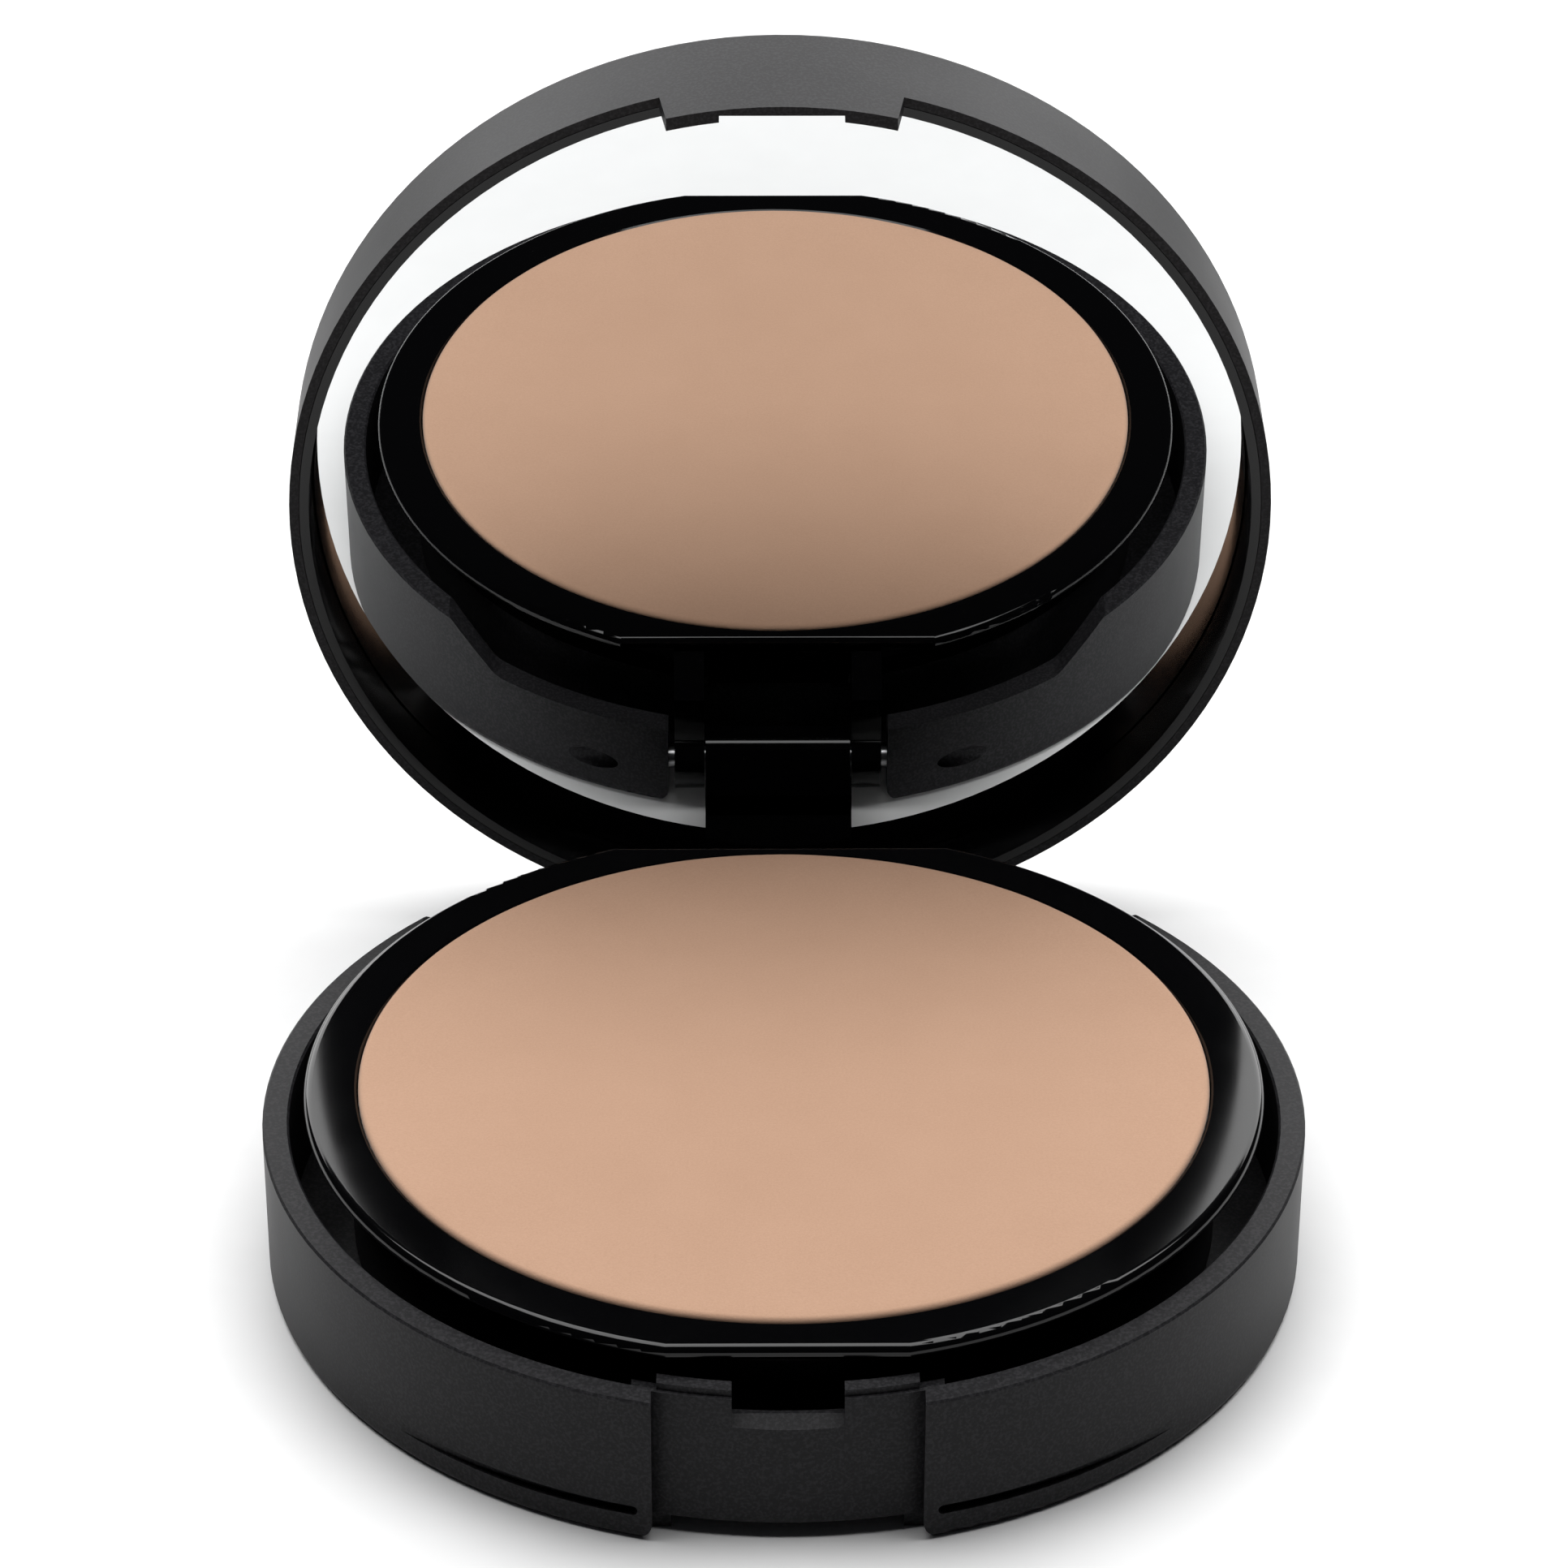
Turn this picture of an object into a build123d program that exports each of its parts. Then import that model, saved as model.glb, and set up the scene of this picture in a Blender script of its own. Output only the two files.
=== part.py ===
"""Round two-level powder compact: a base with a sponge compartment, a hinged powder tray and a mirror lid.

Frame: millimetres, +Z up, origin on the underside at the centre of the base, +Y towards the hinge.
The tray and the lid turn on one steel pin at the back. The lid is drawn closed, on planes that are
swung about the pin, so it stands open at rest.
"""

import os
from math import sqrt

from build123d import *

os.makedirs("parts", exist_ok=True)

# --- driving sizes -------------------------------------------------------------------------------
pan_radius = 29.75  # standard round pan, which the rest is built around
pan_wall = 0.25
pan_floor = 0.3
pan_height = 3.4
powder_rise = 0.6  # the cake stands this far above the pan's rim
powder_edge_round = 0.3

base_height = 11.1
base_wall = 1.85
base_foot_round = 0.65  # outer bottom edge
foot_round = 1.5  # feet of the openings in the wall
rim_break = 0.15  # small breaks on moulded rims
floor_height = 1.3  # underside of the base floor
floor_thickness = 1.0

tray_ring = 3.8  # tray outside the pan
tray_rise = 2.4  # tray above the base rim
tray_edge_round = 0.6
tray_floor = 0.85
tray_wall = 1.35  # round the pan
flange_thickness = 1.5  # rim of the tray, which stands out past its wall
flange_bevel = 0.8  # under the flange, for a fingernail
nail_flat_depth = 0.95  # cut off the front of the tray's circle, for a fingernail

lid_step = 0.1  # the lid's outline lies this far inside the base's
lid_skin = 0.7
lid_crown_round = 0.5
lid_plate = 1.1  # top of the outer skin
frame_wall = 0.7  # inner lid frame
frame_plate = 1.08  # the frame behind the glass
mirror_clearance = 2.17  # closed glass above the powder
mirror_thickness = 1.0
tape_thickness = 0.1
open_angle = 84.75  # where the lid stands at rest

well_wall = 1.0  # round wall of the sponge compartment
sponge_edge_round = 1.6
foot_ring_width = 1.2  # ring round the label that reaches down to the table
foot_ring_inset = 1.0  # from the rear edge of the floor
label_margin = 1.25  # label to the foot ring
label_thickness = 0.15

# hinge
hinge_offset = 2.15  # pin behind the tray's rear flat
barrel_lift = 0.6  # hinge barrels above the table
pin_radius = 0.85
pin_grip = 3.7  # length of pin held in each block
knuckle_width = 11.6  # lid arm, in the middle
lug_width = 2.4  # tray lugs, one each side of it
knuckle_radius = 2.5
gusset_rise = 2.0  # ramp that ties the arm into the lid frame
block_length = 8.7  # hinge blocks inside the rear wall
block_cover = 1.35  # plastic in front of the pin's bore

# front recess, tongue and catch panel
recess_half_width = 8.85
shut_line_width = 0.35  # down each side of the panel
shut_line_depth = 0.4
panel_thickness = 1.3
panel_rise = 0.5  # above the base rim
slot_half_width = 3.65
slot_height = 1.7  # below the base rim
ledge_drop = 0.6  # sloped ledge under the slot
ledge_depth = 1.0
tongue_length = 3.4
tongue_taper = 0.5  # narrower by this at the tip, each side
tongue_thickness = 0.95
tongue_relief_half_width = 4.4  # the middle is only as thick as the lid's skin

# rear of the base wall
rear_cut_half_width = 22.7
rear_cut_ramp = 3.9  # run of the slope up to the full rim
rear_cut_drop = 3.4
rear_cut_round = 1.5

# thumb groove low on the front wall
groove_height = 2.3  # its middle
groove_width = 0.7
groove_start = 9.8
groove_fade = 25.7  # where it runs out
groove_depth = 0.9

# clearances
running_gap = 0.05  # on the radius, pin to its bores
side_gap = 0.1  # between knuckle, lugs and blocks
rim_gap = 0.15  # closed lid to base rim
fit_gap = 0.1  # pieces dropped or glued into a seat
swing_gap = 0.3  # lid arm behind the tray, and moving pieces over fixed ones
lid_side_gap = 0.15  # inside of the lid past the catch panel
notch_side_gap = 0.5  # tray lugs to the sides of the rear notch
tray_gap = 1.1  # tray to base wall
tongue_gap = 0.35  # tongue in front of the catch panel
tongue_side_gap = 0.25  # tongue to the sides of its recess
sponge_gap = 0.45  # sponge to the compartment's wall
sponge_headroom = 1.05  # over the sponge

# --- worked out ----------------------------------------------------------------------------------
tray_radius = pan_radius + tray_ring
base_inner_radius = tray_radius + tray_gap
base_radius = base_inner_radius + base_wall
lid_radius = base_radius - lid_step
frame_outer_radius = lid_radius - lid_skin - running_gap
frame_inner_radius = frame_outer_radius - frame_wall

tray_top = base_height + tray_rise
front_flat_y = tray_radius - nail_flat_depth
rear_flat_y = pan_radius + tray_wall
pocket_radius = pan_radius + fit_gap
pan_top = tray_top - swing_gap
pan_base = pan_top - pan_height
pocket_floor = pan_base - tape_thickness
tray_bottom = pocket_floor - tray_floor
powder_top = pan_top + powder_rise

lid_rim = base_height + rim_gap
mirror_face = powder_top + mirror_clearance
tape_face = mirror_face + mirror_thickness
frame_plate_face = tape_face + tape_thickness
frame_top = frame_plate_face + frame_plate
lid_top = frame_top + running_gap + lid_plate

hinge_y = rear_flat_y + hinge_offset
hinge_z = knuckle_radius + barrel_lift
bore_radius = pin_radius + running_gap
lug_inner_x = knuckle_width / 2 + side_gap
lug_outer_x = lug_inner_x + lug_width
notch_half_width = lug_outer_x + notch_side_gap
pin_length = 2 * (notch_half_width + pin_grip)
rear_clear_y = hinge_y - knuckle_radius - swing_gap  # the floor stops short of the hinge barrels
well_radius = rear_clear_y - well_wall

floor_top = floor_height + floor_thickness
sponge_radius = well_radius - sponge_gap
sponge_thickness = tray_bottom - floor_top - sponge_headroom
foot_ring_radius = rear_clear_y - foot_ring_inset
label_radius = foot_ring_radius - foot_ring_width - label_margin
panel_depth = lid_step + tongue_thickness + tongue_gap  # the panel stands behind the wall's face
tongue_half_width = recess_half_width - tongue_side_gap

closed_to_open = (
    Location((0, hinge_y, hinge_z))
    * Location((0, 0, 0), (-open_angle, 0, 0))
    * Location((0, -hinge_y, -hinge_z))
)
lid_xy = Plane(closed_to_open * Plane.XY.location)
lid_xz = Plane(closed_to_open * Plane.XZ.location)
lid_yz = Plane(closed_to_open * Plane.YZ.location)
lid_axis = Axis(lid_xy.origin, lid_xy.z_dir)


# --- base ----------------------------------------------------------------------------------------
# Thumb groove: a slot run along the front wall, whose bed is a wider arc so that it fades out.
groove_bed = base_radius - groove_depth
fade_y = sqrt(base_radius**2 - groove_fade**2)
bed_shift = (base_radius**2 - groove_bed**2) / (2 * (groove_bed - fade_y))

with BuildPart() as thumb_groove:
    with BuildSketch(Plane.XZ.offset(fade_y / 2)):
        for side in (-1, 1):
            with Locations((side * (groove_start + base_radius) / 2, groove_height)):
                SlotOverall(base_radius - groove_start, groove_width)
    extrude(amount=base_radius)
    with BuildSketch(Plane.XY):
        with Locations((0, bed_shift)):
            Circle(groove_bed + bed_shift)
    extrude(amount=base_height, mode=Mode.SUBTRACT)

# Front recess: it takes the lid's tongue, in front of the catch panel, and runs out under the floor.
# A deeper shut line goes down each side of the panel.
panel_radius = base_radius - panel_depth
panel_half_width = recess_half_width - shut_line_width


def doorway(plane, half_width):
    """Outline of an opening through the base wall, with its feet rounded outwards."""
    with BuildSketch(plane) as outline:
        with Locations((0, lid_top / 2)):
            Rectangle(2 * half_width, lid_top)
        for side in (-1, 1):
            with Locations((side * (half_width + foot_round / 2), foot_round / 2)):
                Rectangle(foot_round, foot_round)
            with Locations((side * (half_width + foot_round), foot_round)):
                Circle(foot_round, mode=Mode.SUBTRACT)
    return outline.sketch


with BuildPart() as front_recess:
    extrude(doorway(Plane.XZ.offset(panel_radius - panel_thickness), recess_half_width), base_radius)
    with BuildSketch(Plane.XY.offset(floor_height)):
        Circle(panel_radius)
    extrude(amount=lid_top, mode=Mode.SUBTRACT)
    with BuildSketch(Plane.XY.offset(floor_height)):
        for side in (-1, 1):
            with Locations((side * (recess_half_width - shut_line_width / 2), -base_radius)):
                Rectangle(shut_line_width, 2 * (panel_depth + shut_line_depth))
    extrude(amount=lid_top)

# Base shell: one moulding of wall, floor, round sponge compartment and catch panel. The floor stands
# above the wall's foot and has a foot ring of its own. The rear wall is cut down so that the tray can
# swing back over it, and opened for the hinge.
panel_inner_radius = panel_radius - panel_thickness
panel_parts = [
    (panel_radius, recess_half_width + panel_thickness, base_height - 2 * rim_break),
    (frame_inner_radius - lid_side_gap, panel_half_width, base_height + panel_rise),
]
slot_floor = base_height - slot_height
block_front = hinge_y - bore_radius - block_cover
ramp_end = rear_cut_half_width + rear_cut_ramp
with BuildPart() as base_shell:
    with BuildSketch(Plane.XZ):
        with BuildLine():
            Polyline(
                (0, floor_height),
                (foot_ring_radius - foot_ring_width, floor_height),
                (foot_ring_radius - foot_ring_width, 0),
                (foot_ring_radius, 0),
                (foot_ring_radius, floor_height),
                (base_inner_radius, floor_height),
                (base_inner_radius, 0),
                (base_radius, 0),
                (base_radius, base_height),
                (base_inner_radius, base_height),
                (base_inner_radius, floor_top),
                (0, floor_top),
                close=True,
            )
        make_face()
    revolve(axis=Axis.Z)
    foot_edges = base_shell.edges().filter_by(GeomType.CIRCLE).group_by(Axis.Z)[0]
    fillet(foot_edges.sort_by(SortBy.RADIUS)[-1], base_foot_round)
    chamfer(base_shell.edges().filter_by(GeomType.CIRCLE).group_by(Axis.Z)[-1], rim_break)
    with BuildSketch(Plane.XY):
        for side in (-1, 1):
            with Locations((side * (notch_half_width + block_length / 2), block_front + base_wall)):
                Rectangle(block_length, 2 * base_wall)
        Circle(base_radius - base_wall / 2, mode=Mode.INTERSECT)
    extrude(amount=hinge_z + knuckle_radius)
    for outer_radius, half_width, top in panel_parts:
        with BuildSketch(Plane.XY.offset(floor_height)):
            Circle(outer_radius)
            Circle(panel_inner_radius, mode=Mode.SUBTRACT)
            with Locations((0, -base_radius)):
                Rectangle(2 * half_width, base_radius, mode=Mode.INTERSECT)
        extrude(amount=top - floor_height)
    add(front_recess.part, mode=Mode.SUBTRACT)
    add(thumb_groove.part, mode=Mode.SUBTRACT)
    # slot in the panel's top edge, over a sloped ledge
    with BuildSketch(Plane.XZ.offset(panel_inner_radius - panel_thickness)):
        with Locations((0, slot_floor + base_height / 2)):
            Rectangle(2 * slot_half_width, base_height)
    extrude(amount=base_radius, mode=Mode.SUBTRACT)
    with BuildSketch(Plane.YZ):
        with BuildLine():
            Polyline(
                (-base_radius, slot_floor),
                (-panel_radius + ledge_depth, slot_floor),
                (-panel_radius, slot_floor - ledge_drop),
                (-base_radius, slot_floor - ledge_drop),
                close=True,
            )
        make_face()
    extrude(amount=slot_half_width, both=True, mode=Mode.SUBTRACT)
    # rear: rim cut down, notch for the hinge barrels, bore for the pin
    with BuildSketch(Plane.XZ) as rear_cut:
        with BuildLine():
            Polyline(
                (-ramp_end, base_height),
                (-rear_cut_half_width, base_height - rear_cut_drop),
                (rear_cut_half_width, base_height - rear_cut_drop),
                (ramp_end, base_height),
                (ramp_end, lid_top),
                (-ramp_end, lid_top),
                close=True,
            )
        make_face()
        fillet(rear_cut.vertices().group_by(Axis.Y)[0], rear_cut_round)
    extrude(amount=-base_radius, mode=Mode.SUBTRACT)
    with BuildSketch(Plane.XY.offset(floor_height)):
        Circle(rear_clear_y)
        Circle(well_radius, mode=Mode.SUBTRACT)
    extrude(amount=tray_bottom - swing_gap - floor_height)
    extrude(doorway(Plane.XZ.offset(-rear_clear_y), notch_half_width), -base_radius, mode=Mode.SUBTRACT)
    with BuildSketch(Plane.YZ):
        with Locations((hinge_y, hinge_z)):
            Circle(bore_radius)
    extrude(amount=base_radius, both=True, mode=Mode.SUBTRACT)
base_shell.part.label = "base_shell"
export_step(base_shell.part, "parts/base_shell.step")

with BuildPart() as underside_label:
    with BuildSketch(Plane.XY.offset(floor_height - label_thickness)):
        Circle(label_radius)
    extrude(amount=label_thickness)
underside_label.part.label = "underside_label"
export_step(underside_label.part, "parts/underside_label.step")

with BuildPart() as hinge_pin:
    with BuildSketch(Plane.YZ):
        with Locations((hinge_y, hinge_z)):
            Circle(pin_radius)
    extrude(amount=pin_length / 2, both=True)
    chamfer(hinge_pin.edges().filter_by(GeomType.CIRCLE), pin_radius / 4)
hinge_pin.part.label = "hinge_pin"
export_step(hinge_pin.part, "parts/hinge_pin.step")

with BuildPart() as sponge:
    with BuildSketch(Plane.XY.offset(floor_top)):
        Circle(sponge_radius)
    extrude(amount=sponge_thickness)
    fillet(sponge.edges().filter_by(GeomType.CIRCLE), sponge_edge_round)
sponge.part.label = "sponge"
export_step(sponge.part, "parts/sponge.step")

# --- tray ----------------------------------------------------------------------------------------
# Tray: a round dish with a flange that has a flat at the front for a fingernail and one at the back
# for the lid's arm, a pocket for the pan, and two lugs that reach down to the pin.
tray_depth = front_flat_y + rear_flat_y
lug_front = hinge_y - knuckle_radius
lug_back = hinge_y + bore_radius
lug_top = tray_top - 2 * tray_edge_round
with BuildPart() as tray_shell:
    with BuildSketch(Plane.XY.offset(tray_top - flange_thickness)):
        Circle(tray_radius)
        with Locations((0, (rear_flat_y - front_flat_y) / 2)):
            Rectangle(2 * tray_radius, tray_depth, mode=Mode.INTERSECT)
    extrude(amount=flange_thickness)
    fillet(tray_shell.edges().group_by(Axis.Z)[-1], tray_edge_round)
    chamfer(tray_shell.edges().group_by(Axis.Z)[0], flange_bevel)
    with BuildSketch(Plane.XY.offset(tray_bottom)):
        Circle(rear_flat_y)
        with Locations((0, rear_flat_y / 2)):
            Rectangle(2 * lug_outer_x, rear_flat_y)
    extrude(amount=lug_top - tray_bottom)
    chamfer(tray_shell.edges().group_by(Axis.Z)[0], rim_break)
    with BuildSketch(Plane.XY.offset(pocket_floor)):
        Circle(pocket_radius)
    extrude(amount=tray_top, mode=Mode.SUBTRACT)
    pocket_rim = tray_shell.edges().filter_by(GeomType.CIRCLE).group_by(Axis.Z)[-1].sort_by(SortBy.RADIUS)[0]
    chamfer(pocket_rim, rim_break)
    for side in (-1, 1):
        with BuildSketch(Plane.YZ.offset(side * (lug_inner_x + lug_width / 2))):
            with Locations((hinge_y, hinge_z)):
                Circle(knuckle_radius)
            with BuildLine():
                Polyline(
                    (lug_front, hinge_z),
                    (lug_back, hinge_z),
                    (lug_back, tray_bottom + tray_floor),
                    (rear_flat_y, lug_top),
                    (lug_front, lug_top),
                    close=True,
                )
            make_face()
        extrude(amount=lug_width / 2, both=True)
    with BuildSketch(Plane.YZ):
        with Locations((hinge_y, hinge_z)):
            Circle(bore_radius)
    extrude(amount=lug_outer_x + lug_width, both=True, mode=Mode.SUBTRACT)
tray_shell.part.label = "tray_shell"
export_step(tray_shell.part, "parts/tray_shell.step")

with BuildPart() as pan_adhesive:
    with BuildSketch(Plane.XY.offset(pocket_floor)):
        Circle(pan_radius / 2)
    extrude(amount=tape_thickness)
pan_adhesive.part.label = "pan_adhesive"
export_step(pan_adhesive.part, "parts/pan_adhesive.step")

with BuildPart() as powder_pan:
    with BuildSketch(Plane.XY.offset(pan_base)):
        Circle(pan_radius)
    extrude(amount=pan_height)
    fillet(powder_pan.edges().group_by(Axis.Z)[0], pan_floor)
    with BuildSketch(Plane.XY.offset(pan_base + pan_floor)):
        Circle(pan_radius - pan_wall)
    extrude(amount=pan_height, mode=Mode.SUBTRACT)
powder_pan.part.label = "powder_pan"
export_step(powder_pan.part, "parts/powder_pan.step")

with BuildPart() as powder_cake:
    with BuildSketch(Plane.XY.offset(pan_base + pan_floor)):
        Circle(pan_radius - pan_wall)
    extrude(amount=powder_top - pan_base - pan_floor)
    fillet(powder_cake.edges().group_by(Axis.Z)[-1], powder_edge_round)
powder_cake.part.label = "powder_cake"
export_step(powder_cake.part, "parts/powder_cake.step")

# --- lid -----------------------------------------------------------------------------------------
# Tongue: continues the lid's wall below its rim, narrower at the tip and thinner in the middle.
with BuildPart() as tongue:
    with BuildSketch(lid_xy.offset(lid_rim - tongue_length)):
        Circle(lid_radius)
        Circle(lid_radius - tongue_thickness, mode=Mode.SUBTRACT)
        with Locations((0, -lid_radius)):
            Rectangle(2 * tongue_half_width, lid_radius, mode=Mode.INTERSECT)
        with BuildLine():
            Polyline(
                (-tongue_relief_half_width, -lid_radius + lid_skin),
                (tongue_relief_half_width, -lid_radius + lid_skin),
                (tongue_relief_half_width, 0),
                (-tongue_relief_half_width, 0),
                close=True,
            )
        make_face(mode=Mode.SUBTRACT)
    extrude(amount=tongue_length)
    with BuildSketch(lid_xz):
        with BuildLine():
            Polyline(
                (tongue_taper - tongue_half_width, lid_rim - tongue_length),
                (tongue_half_width - tongue_taper, lid_rim - tongue_length),
                (tongue_half_width, lid_rim),
                (-tongue_half_width, lid_rim),
                close=True,
            )
        make_face()
    extrude(amount=lid_radius, mode=Mode.INTERSECT)

# Outer skin: a shallow cap.
with BuildPart() as lid_shell:
    with BuildSketch(lid_xz):
        with BuildLine():
            Polyline(
                (0, lid_top),
                (0, lid_top - lid_plate),
                (lid_radius - lid_skin, lid_top - lid_plate),
                (lid_radius - lid_skin, lid_rim),
                (lid_radius, lid_rim),
                (lid_radius, lid_top),
                close=True,
            )
        make_face()
    revolve(axis=lid_axis)
    crown = lid_shell.edges().filter_by(GeomType.CIRCLE).group_by(lid_axis)[-1]
    fillet(crown, lid_crown_round)
    add(tongue.part)
lid_shell.part.label = "lid_shell"
export_step(lid_shell.part, "parts/lid_shell.step")

# Inner frame: holds the glass and carries the arm that turns on the pin.
arm_front = rear_flat_y + swing_gap
arm_back = lid_radius - rim_break
with BuildPart() as lid_frame:
    with BuildSketch(lid_xz):
        with BuildLine():
            Polyline(
                (0, frame_top),
                (0, frame_plate_face),
                (frame_inner_radius, frame_plate_face),
                (frame_inner_radius, lid_rim),
                (frame_outer_radius, lid_rim),
                (frame_outer_radius, frame_top),
                close=True,
            )
        make_face()
    revolve(axis=lid_axis)
    with BuildSketch(lid_yz):
        with Locations((hinge_y, hinge_z)):
            Circle(knuckle_radius)
        with BuildLine():
            Polyline(
                (arm_front, hinge_z),
                (hinge_y + knuckle_radius, hinge_z),
                (arm_back, hinge_z + knuckle_radius),
                (arm_back, lid_rim),
                (arm_front, lid_rim),
                close=True,
            )
        make_face()
        with BuildLine():
            Polyline(
                (hinge_y, lid_rim),
                (frame_inner_radius + fit_gap, lid_rim),
                (frame_inner_radius + fit_gap, lid_rim + gusset_rise),
                close=True,
            )
        make_face()
    extrude(amount=knuckle_width / 2, both=True)
    with BuildSketch(lid_xy):
        Circle(lid_radius - rim_break)
    extrude(amount=lid_top, mode=Mode.INTERSECT)
    with BuildSketch(lid_yz):
        with Locations((hinge_y, hinge_z)):
            Circle(bore_radius)
    extrude(amount=knuckle_width, both=True, mode=Mode.SUBTRACT)
lid_frame.part.label = "lid_frame"
export_step(lid_frame.part, "parts/lid_frame.step")

with BuildPart() as mirror_glass:
    with BuildSketch(lid_xy.offset(mirror_face)):
        Circle(frame_inner_radius - fit_gap)
    extrude(amount=mirror_thickness)
mirror_glass.part.label = "mirror_glass"
export_step(mirror_glass.part, "parts/mirror_glass.step")

with BuildPart() as mirror_tape:
    with BuildSketch(lid_xy.offset(tape_face)):
        Circle(frame_inner_radius - frame_wall)
    extrude(amount=tape_thickness)
mirror_tape.part.label = "mirror_tape"
export_step(mirror_tape.part, "parts/mirror_tape.step")

print("closed height", round(lid_top, 2), "mm, outer diameter", 2 * base_radius, "mm")
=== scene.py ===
"""Looks of a round two-level powder compact: mirror lid, hinged powder tray, sponge compartment."""

import math

import bmesh
import bpy
from mathutils import Matrix, Vector, noise


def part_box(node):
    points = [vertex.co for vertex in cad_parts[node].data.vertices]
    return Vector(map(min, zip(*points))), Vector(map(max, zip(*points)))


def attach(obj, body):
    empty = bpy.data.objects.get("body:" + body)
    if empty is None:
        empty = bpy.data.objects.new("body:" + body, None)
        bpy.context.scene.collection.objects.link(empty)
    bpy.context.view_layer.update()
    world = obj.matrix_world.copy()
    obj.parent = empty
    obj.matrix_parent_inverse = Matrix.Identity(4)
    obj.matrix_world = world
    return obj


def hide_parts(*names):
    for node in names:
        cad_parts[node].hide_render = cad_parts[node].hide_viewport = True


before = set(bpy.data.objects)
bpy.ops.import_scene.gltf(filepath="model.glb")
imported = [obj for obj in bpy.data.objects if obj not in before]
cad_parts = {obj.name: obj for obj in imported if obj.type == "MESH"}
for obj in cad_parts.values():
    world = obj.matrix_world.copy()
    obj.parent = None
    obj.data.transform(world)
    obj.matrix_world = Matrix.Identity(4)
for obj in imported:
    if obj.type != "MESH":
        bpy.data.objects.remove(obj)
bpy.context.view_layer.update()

# --- Camera --------------------------------------------------------------------------------------
# A long lens looks down on the open compact from the front, so that the powder and its reflection
# in the mirror both show.
view_azimuth = math.radians(-0.547)
view_pitch = math.radians(29.865)
view_roll = math.radians(0.151)
view_distance = 0.3514
aim = Vector((0, 0.00484, 0.03393))

camera = bpy.data.objects.new("camera", bpy.data.cameras.new("camera"))
camera.data.lens = 117.2
camera.data.clip_start = 0.01
camera.data.clip_end = 20
camera.matrix_world = (
    Matrix.Translation(aim)
    @ Matrix.Rotation(view_azimuth, 4, "Z")
    @ Matrix.Rotation(math.pi / 2 - view_pitch, 4, "X")
    @ Matrix.Translation((0, 0, view_distance))
    @ Matrix.Rotation(view_roll, 4, "Z")
)
bpy.context.collection.objects.link(camera)
bpy.context.scene.camera = camera


# --- Floor ---------------------------------------------------------------------------------------
# A sheet of pale matt board, much larger than the compact, which stands on it.
class Value:
    """A number that changes over a surface. Arithmetic on it adds Math nodes."""

    def __init__(self, finish, socket):
        self.finish = finish
        self.socket = socket

    def math(self, operation, *values):
        return self.finish.node("ShaderNodeMath", {"operation": operation}, dict(enumerate(values))).value()

    def __add__(self, other):
        return self.math("ADD", self, other)

    def __rsub__(self, other):
        return self.math("SUBTRACT", other, self)

    def __mul__(self, other):
        return self.math("MULTIPLY", self, other)

    __radd__ = __add__
    __rmul__ = __mul__

    def ramp(self, low, high):
        """0 below low, 1 above high and smooth between them."""
        settings = {"interpolation_type": "SMOOTHSTEP"}
        inputs = {"Value": self, "From Min": low, "From Max": high}
        return self.finish.node("ShaderNodeMapRange", settings, inputs).value("Result")


class Node:
    """A shader node whose outputs are read by name."""

    def __init__(self, finish, node):
        self.finish = finish
        self.node = node

    def value(self, output=0):
        return Value(self.finish, self.node.outputs[output])


class Finish:
    """One material: a Principled shader whose constant sockets are set by name."""

    def __init__(self, name, **sockets):
        self.material = bpy.data.materials.new(name)
        self.material.use_nodes = True
        self.tree = self.material.node_tree
        self.shader = self.tree.nodes["Principled BSDF"]
        for socket, value in sockets.items():
            self.shader.inputs[socket.replace("_", " ")].default_value = value

    def node(self, kind, settings=None, inputs=None):
        made = self.tree.nodes.new(kind)
        for setting, value in (settings or {}).items():
            setattr(made, setting, value)
        for socket, value in (inputs or {}).items():
            self.feed(made.inputs[socket], value)
        return Node(self, made)

    def feed(self, socket, value):
        if isinstance(value, Value):
            self.tree.links.new(value.socket, socket)
        else:
            socket.default_value = value

    def link(self, socket, value):
        self.feed(self.shader.inputs[socket], value)

    def place(self):
        return self.node("ShaderNodeTexCoord").value("Object")

    def grain(self, size, detail=2, place=None, roughness=0.5):
        """Noise from 0 to 1 whose lumps are about size metres across."""
        inputs = {
            "Vector": place or self.place(),
            "Scale": 1 / size,
            "Detail": detail,
            "Roughness": roughness,
        }
        return self.node("ShaderNodeTexNoise", None, inputs).value("Fac")

    def tint(self, share, dark, light):
        """A colour from dark to light as share goes from 0 to 1."""
        inputs = {"Factor": share, 6: (*dark, 1), 7: (*light, 1)}
        return self.node("ShaderNodeMix", {"data_type": "RGBA"}, inputs).value(2)

    def relief(self, height, depth, strength=1):
        """Bumps that stand depth metres high where height is 1."""
        inputs = {"Height": height, "Distance": depth, "Strength": strength}
        self.link("Normal", self.node("ShaderNodeBump", None, inputs).value("Normal"))


def new_object(name, mesh_maker, material):
    """Object at the origin made from a bmesh, with its place in its mesh."""
    mesh = bpy.data.meshes.new(name)
    mesh_maker.to_mesh(mesh)
    mesh_maker.free()
    mesh.materials.append(material)
    made = bpy.data.objects.new(name, mesh)
    bpy.context.collection.objects.link(made)
    return made


board = Finish("pale_board", Roughness=0.8)
board.link("Base Color", board.tint(board.grain(0.004, 4), (0.80, 0.80, 0.80), (0.84, 0.84, 0.84)))
bm = bmesh.new()
bmesh.ops.create_circle(bm, cap_ends=True, segments=64, radius=6)
bmesh.ops.recalc_face_normals(bm, faces=bm.faces)
floor = new_object("floor", bm, board.material)


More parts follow.
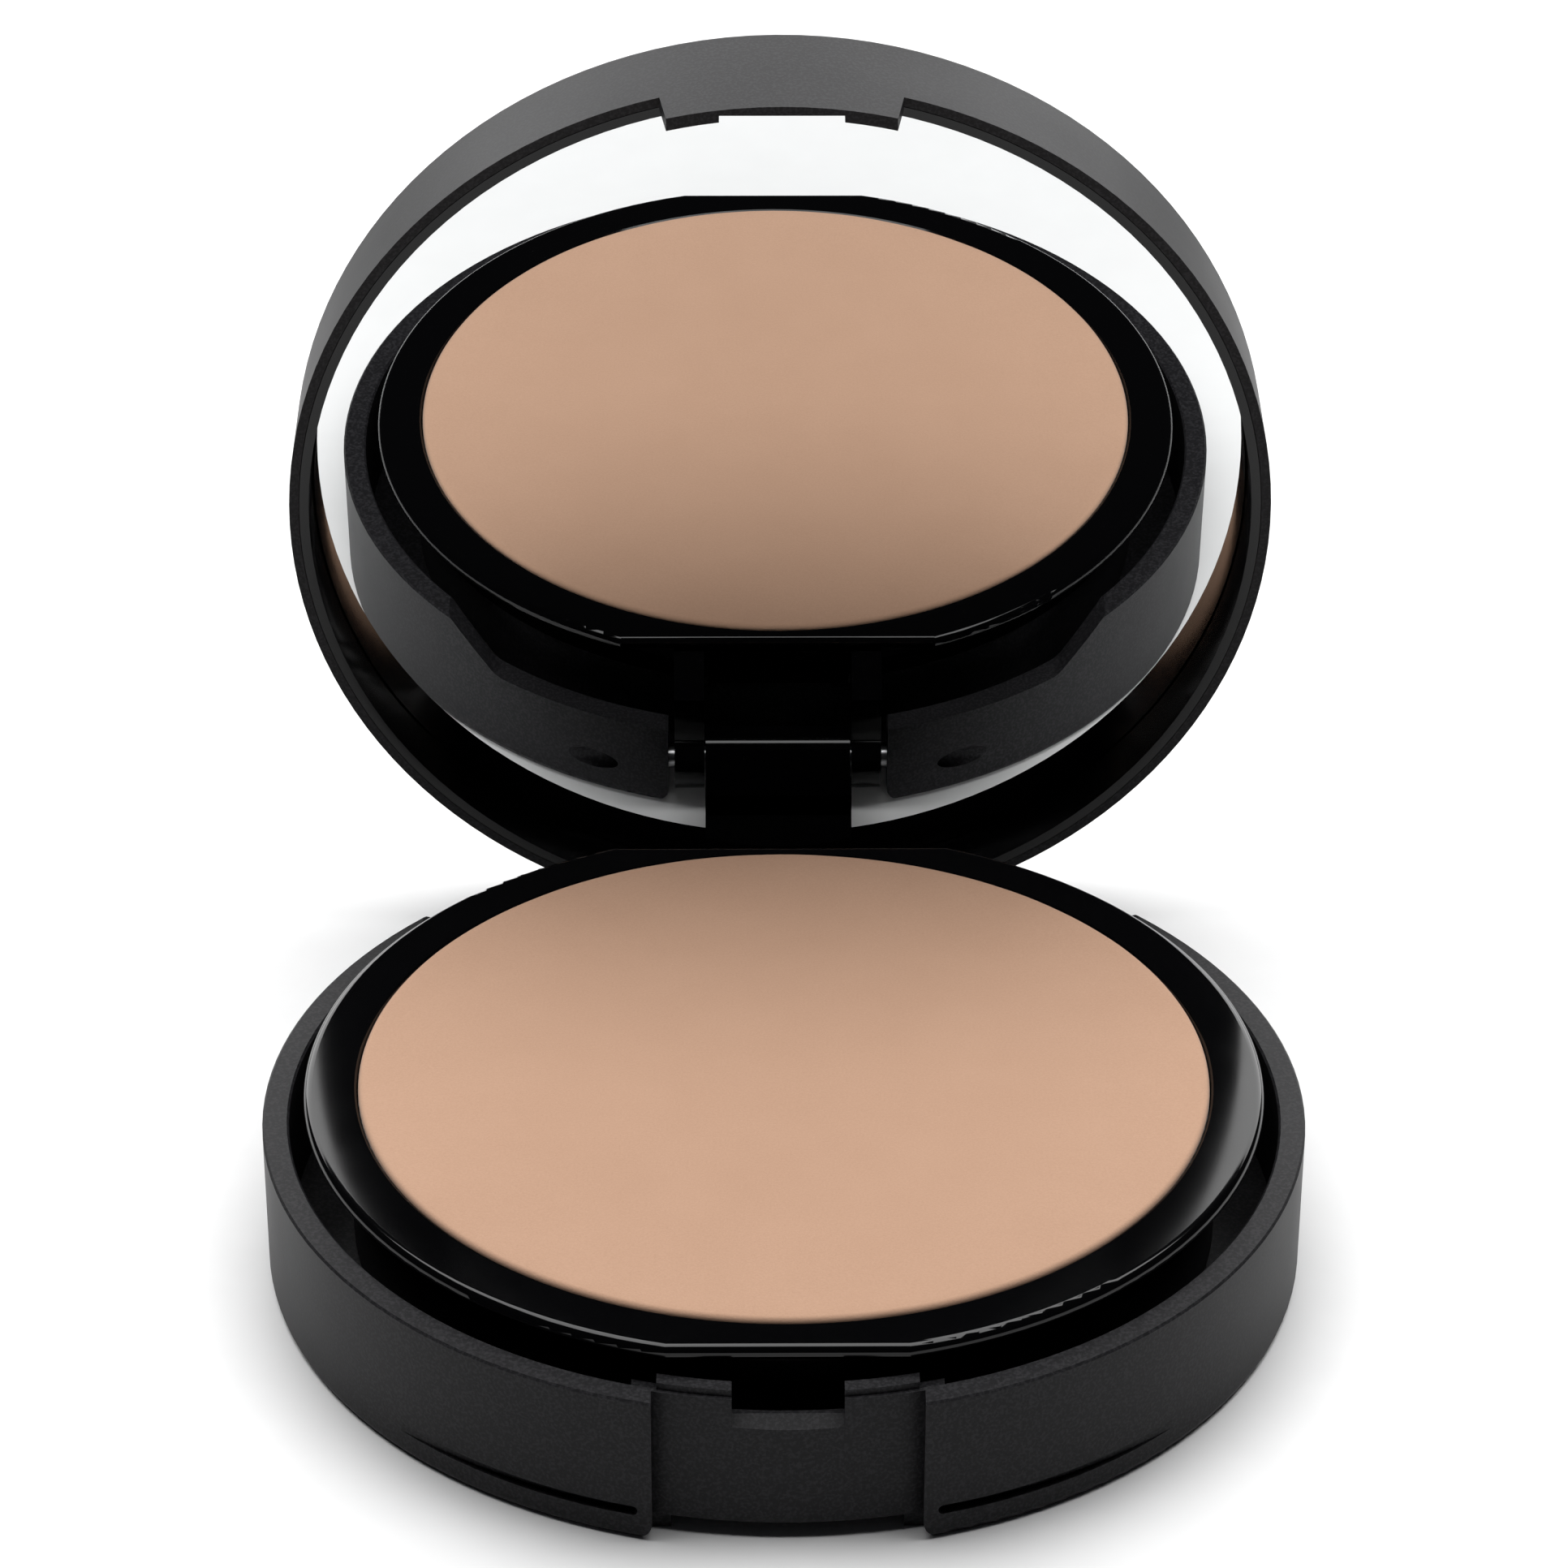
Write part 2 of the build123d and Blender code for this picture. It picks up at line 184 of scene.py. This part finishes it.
# --- Light ---------------------------------------------------------------------------------------
# A large soft box overhead and towards the back, a lit backdrop behind and a dim room in front, so
# that the black plastics keep their depth and light rims.
def soft_box(name, centre, aim_at, width, height, power):
    lamp = bpy.data.objects.new(name, bpy.data.lights.new(name, "AREA"))
    lamp.data.shape = "RECTANGLE"
    lamp.data.size = width
    lamp.data.size_y = height
    lamp.data.energy = power
    towards = Vector(aim_at) - Vector(centre)
    lamp.matrix_world = Matrix.Translation(centre) @ towards.to_track_quat("-Z", "Y").to_matrix().to_4x4()
    bpy.context.collection.objects.link(lamp)


soft_box("overhead", (0, 0.22, 1.1), (0, -0.05, 0), 1.5, 0.9, 22)
soft_box("backdrop", (0, 1.5, 0.6), (0, 0, 0.1), 2.6, 1.0, 28)

world = bpy.data.worlds.new("room")
world.use_nodes = True
world.node_tree.nodes["Background"].inputs["Color"].default_value = (0.9, 0.92, 1, 1)
world.node_tree.nodes["Background"].inputs["Strength"].default_value = 0.02
bpy.context.scene.world = world
bpy.context.scene.view_settings.view_transform = "Standard"

# --- Base and lid skins --------------------------------------------------------------------------
# Moulded ABS sprayed with a soft-touch lacquer: nearly black, matt, with a fine sprayed speckle.
# The base is one moulding of wall, floor, sponge compartment, catch panel and hinge blocks.
soft_touch = Finish("soft_touch_lacquer", Specular_IOR_Level=0.12)
speckle = soft_touch.grain(0.00022, 3)
cloud = soft_touch.grain(0.009, 3)
lacquer_dark = (0.009, 0.0088, 0.0098)
lacquer_light = (0.021, 0.0205, 0.0225)
soft_touch.link("Base Color", soft_touch.tint(speckle.ramp(0.42, 0.66), lacquer_dark, lacquer_light))
soft_touch.link("Roughness", 0.36 + speckle * 0.1 + cloud * 0.08)
soft_touch.relief(speckle, 0.00001, 0.6)


def finish_node(node, finish):
    """Gives a CAD node its material."""
    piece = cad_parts[node]
    piece.data.materials.clear()
    piece.data.materials.append(finish.material)


finish_node("base_shell", soft_touch)
finish_node("lid_shell", soft_touch)

# --- Underside label -----------------------------------------------------------------------------
# A blank satin film disc stuck in the recess under the floor, with a thin printed border.
label_low, label_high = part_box("underside_label")
label_radius = (label_high.x - label_low.x) / 2
film = Finish("label_film", Specular_IOR_Level=0.5)
label_flat = film.node(
    "ShaderNodeVectorMath", {"operation": "MULTIPLY"}, {0: film.place(), 1: (1, 1, 0)}
).value()
label_reach = film.node("ShaderNodeVectorMath", {"operation": "LENGTH"}, {0: label_flat}).value("Value")
border_blur = 0.0001
border_start = label_reach.ramp(label_radius - 0.0016, label_radius - 0.0016 + border_blur)
border_end = label_reach.ramp(label_radius - 0.0012, label_radius - 0.0012 + border_blur)
border = border_start * (1 - border_end)
film.link("Base Color", film.tint(border, (0.03, 0.03, 0.032), (0.35, 0.35, 0.36)))
film.link("Roughness", 0.36 + film.grain(0.0004, 2) * 0.12)
finish_node("underside_label", film)

# --- Hinge pin -----------------------------------------------------------------------------------
# Drawn steel wire, cut to length, with fine lines along it from the die.
steel = Finish("drawn_steel", Metallic=1.0)
along_pin = steel.node(
    "ShaderNodeMapping", {"vector_type": "POINT"}, {"Vector": steel.place(), "Scale": (0.03, 1, 1)}
).value()
lines = steel.grain(0.00008, 2, along_pin)
steel.link("Base Color", steel.tint(lines, (0.46, 0.46, 0.47), (0.66, 0.66, 0.67)))
steel.link("Roughness", 0.24 + lines * 0.2)
finish_node("hinge_pin", steel)

# --- Sponge --------------------------------------------------------------------------------------
# A round latex foam puff, moulded with soft edges, which lies loose in the compartment under the tray.
sponge_low, sponge_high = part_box("sponge")
sponge_centre = (sponge_low + sponge_high) / 2
sponge_radius = (sponge_high.x - sponge_low.x) / 2
sponge_thickness = sponge_high.z - sponge_low.z
foam = Finish("latex_foam", Specular_IOR_Level=0.25, Subsurface_Weight=0.15, Roughness=0.9)
foam.shader.inputs["Subsurface Radius"].default_value = (0.002, 0.0012, 0.0008)
pores_per_metre = 2600
pores = foam.node(
    "ShaderNodeTexVoronoi", {"feature": "F1"}, {"Vector": foam.place(), "Scale": pores_per_metre}
).value("Distance")
# The pore pits, which the relief below sinks, are painted darker than the foam between them: painted shade
# in the pits.
foam.link("Base Color", foam.tint(pores.ramp(0.1, 0.5), (0.55, 0.40, 0.28), (0.80, 0.66, 0.51)))
foam.relief(pores, 0.00012, 0.8)

edge_share = 0.36  # of the thickness, rounded at each rim
cap_rings = 8
ring_step = 0.11  # of the radius
sag = 0.0004  # of the top, at the rim
bm = bmesh.new()
bmesh.ops.create_circle(bm, segments=96, radius=sponge_radius * 0.985)
side = bmesh.ops.extrude_edge_only(bm, edges=bm.edges[:])
upper_loop = [v for v in side["geom"] if isinstance(v, bmesh.types.BMVert)]
bmesh.ops.translate(bm, verts=upper_loop, vec=(0, 0, sponge_thickness))
for height in (0, sponge_thickness):
    loop = [e for e in bm.edges if all(abs(v.co.z - height) < 1e-6 for v in e.verts)]
    bmesh.ops.holes_fill(bm, edges=loop, sides=0)
caps = [f for f in bm.faces if len(f.verts) > 4]
for cap in caps:
    for step in range(cap_rings):
        bmesh.ops.inset_region(bm, faces=[cap], thickness=sponge_radius * ring_step, use_even_offset=True)
rims = [e for e in bm.edges if e.calc_face_angle(0) > 1]
bmesh.ops.bevel(
    bm, geom=rims, offset=sponge_thickness * edge_share, segments=5, profile=0.5, affect="EDGES", material=-1
)
bmesh.ops.poke(bm, faces=[f for f in bm.faces if len(f.verts) > 4])
bmesh.ops.recalc_face_normals(bm, faces=bm.faces)
for vert in bm.verts:
    reach = vert.co.xy.length / sponge_radius
    top = vert.co.z > sponge_thickness / 2
    wobble = noise.noise(vert.co * 90) * 0.00022
    vert.co.xy *= 1 - 0.006 * (1 + noise.noise(Vector((vert.co.x, vert.co.y, 0)) * 60))
    if top:
        vert.co.z += wobble - sag * reach**2
    vert.co += Vector((sponge_centre.x, sponge_centre.y, sponge_low.z))
sponge = new_object("latex_sponge", bm, foam.material)
sponge.data.shade_smooth()
soften = sponge.modifiers.new("soften", "SUBSURF")
soften.levels = soften.render_levels = 1
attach(sponge, "base")
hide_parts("sponge")

# --- Tray and lid frame --------------------------------------------------------------------------
# Black ABS from a polished mould: glossy, with a faint haze from handling and a trace of powder.
gloss = Finish("polished_black", Specular_IOR_Level=0.3)
haze = gloss.grain(0.006, 4)
dust = gloss.grain(0.0003, 2).ramp(0.74, 0.84) * haze.ramp(0.45, 0.7)
gloss.link("Base Color", gloss.tint(dust, (0.001, 0.001, 0.0012), (0.008, 0.007, 0.006)))
gloss.link("Roughness", 0.06 + haze * 0.05 + dust * 0.06)
finish_node("tray_shell", gloss)
finish_node("lid_frame", gloss)

# --- Adhesives -----------------------------------------------------------------------------------
# A dab of hot-melt under the pan and a disc of double-sided tissue tape behind the glass.
tape = Finish("adhesive_tape", Specular_IOR_Level=0.3, Roughness=0.6)
fibres = tape.grain(0.0005, 4)
tape.link("Base Color", tape.tint(fibres, (0.70, 0.69, 0.64), (0.88, 0.87, 0.84)))
tape.relief(fibres, 0.00004)
finish_node("pan_adhesive", tape)
finish_node("mirror_tape", tape)

# --- Powder pan ----------------------------------------------------------------------------------
# A shallow pan drawn from thin aluminium sheet, satin, with the faint rings that drawing leaves.
satin = Finish("drawn_aluminium", Metallic=1.0)
rings_per_metre = 9000
pan_flat = satin.node(
    "ShaderNodeVectorMath", {"operation": "MULTIPLY"}, {0: satin.place(), 1: (1, 1, 0)}
).value()
pan_reach = satin.node("ShaderNodeVectorMath", {"operation": "LENGTH"}, {0: pan_flat}).value("Value")
rings = satin.node(
    "ShaderNodeTexNoise", {"noise_dimensions": "1D"}, {"W": pan_reach * rings_per_metre, "Scale": 1.0}
).value("Fac")
satin.link("Base Color", satin.tint(rings, (0.62, 0.63, 0.65), (0.80, 0.81, 0.83)))
satin.link("Roughness", 0.26 + rings * 0.16)
finish_node("powder_pan", satin)

# --- Powder --------------------------------------------------------------------------------------
# Beige powder pressed into the pan: a dry, very fine grained cake that stands
# just above the pan's rim and spreads over it, with a rounded shoulder.
powder_low, powder_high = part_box("powder_cake")
pan_low, pan_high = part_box("powder_pan")
pan_rim = pan_high.z + 0.00002  # the cake's brim lies just on the pan's rim
powder_inner_radius = (powder_high.x - powder_low.x) / 2
powder_radius = (pan_high.x - pan_low.x) / 2
powder = Finish(
    "pressed_powder", Specular_IOR_Level=0.1, Sheen_Weight=0.15, Sheen_Roughness=0.6, Roughness=0.95
)
fine = powder.grain(0.00016, 3, roughness=0.7)
patch = powder.grain(0.006, 4)
powder.link("Base Color", powder.tint(fine * 0.75 + patch * 0.25, (0.40, 0.235, 0.152), (0.54, 0.34, 0.234)))
powder.relief(fine * 0.8 + patch * 0.2, 0.00004, 0.7)

shoulder = 0.0004
shoulder_steps = 6
crown = 0.00008
crown_steps = 40
bm = bmesh.new()
outline = [
    bm.verts.new((powder_inner_radius, 0, powder_low.z)),
    bm.verts.new((powder_inner_radius, 0, pan_rim)),
    bm.verts.new((powder_radius, 0, pan_rim)),
]
for step in range(shoulder_steps + 1):
    turn = math.pi / 2 * step / shoulder_steps
    outline.append(bm.verts.new((
        powder_radius - shoulder * (1 - math.cos(turn)), 0,
        powder_high.z - crown - shoulder * (1 - math.sin(turn)))))
for step in range(crown_steps - 1, 0, -1):
    reach = (powder_radius - shoulder) * step / crown_steps
    outline.append(bm.verts.new((reach, 0, powder_high.z - crown * (reach / powder_radius) ** 2)))
outline.append(bm.verts.new((0, 0, powder_high.z)))
profile = [bm.edges.new(pair) for pair in zip(outline, outline[1:])]
bmesh.ops.spin(
    bm,
    geom=outline + profile,
    cent=(0, 0, 0),
    axis=(0, 0, 1),
    angle=math.tau,
    steps=180,
    use_merge=True,
)
bmesh.ops.remove_doubles(bm, verts=bm.verts, dist=1e-6)
base_loop = [e for e in bm.edges if e.is_boundary]
bmesh.ops.holes_fill(bm, edges=base_loop, sides=0)
bmesh.ops.recalc_face_normals(bm, faces=bm.faces)
for vert in bm.verts:
    if vert.co.z > powder_high.z - 2 * shoulder:
        vert.co.z -= 0.00002 * (1 + noise.noise(vert.co * 300))
cake = new_object("pressed_powder_cake", bm, powder.material)
cake.data.shade_smooth()
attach(cake, "tray")
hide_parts("powder_cake")

# --- Mirror --------------------------------------------------------------------------------------
# A disc of float glass silvered on its back, held by tape in the lid frame.
silver = Finish("silvered_glass", Metallic=1.0)
smudge = silver.grain(0.012, 3)
silver.link("Base Color", silver.tint(smudge, (0.85, 0.86, 0.86), (0.88, 0.89, 0.89)))
silver.link("Roughness", smudge.ramp(0.5, 0.9) * 0.02)
finish_node("mirror_glass", silver)
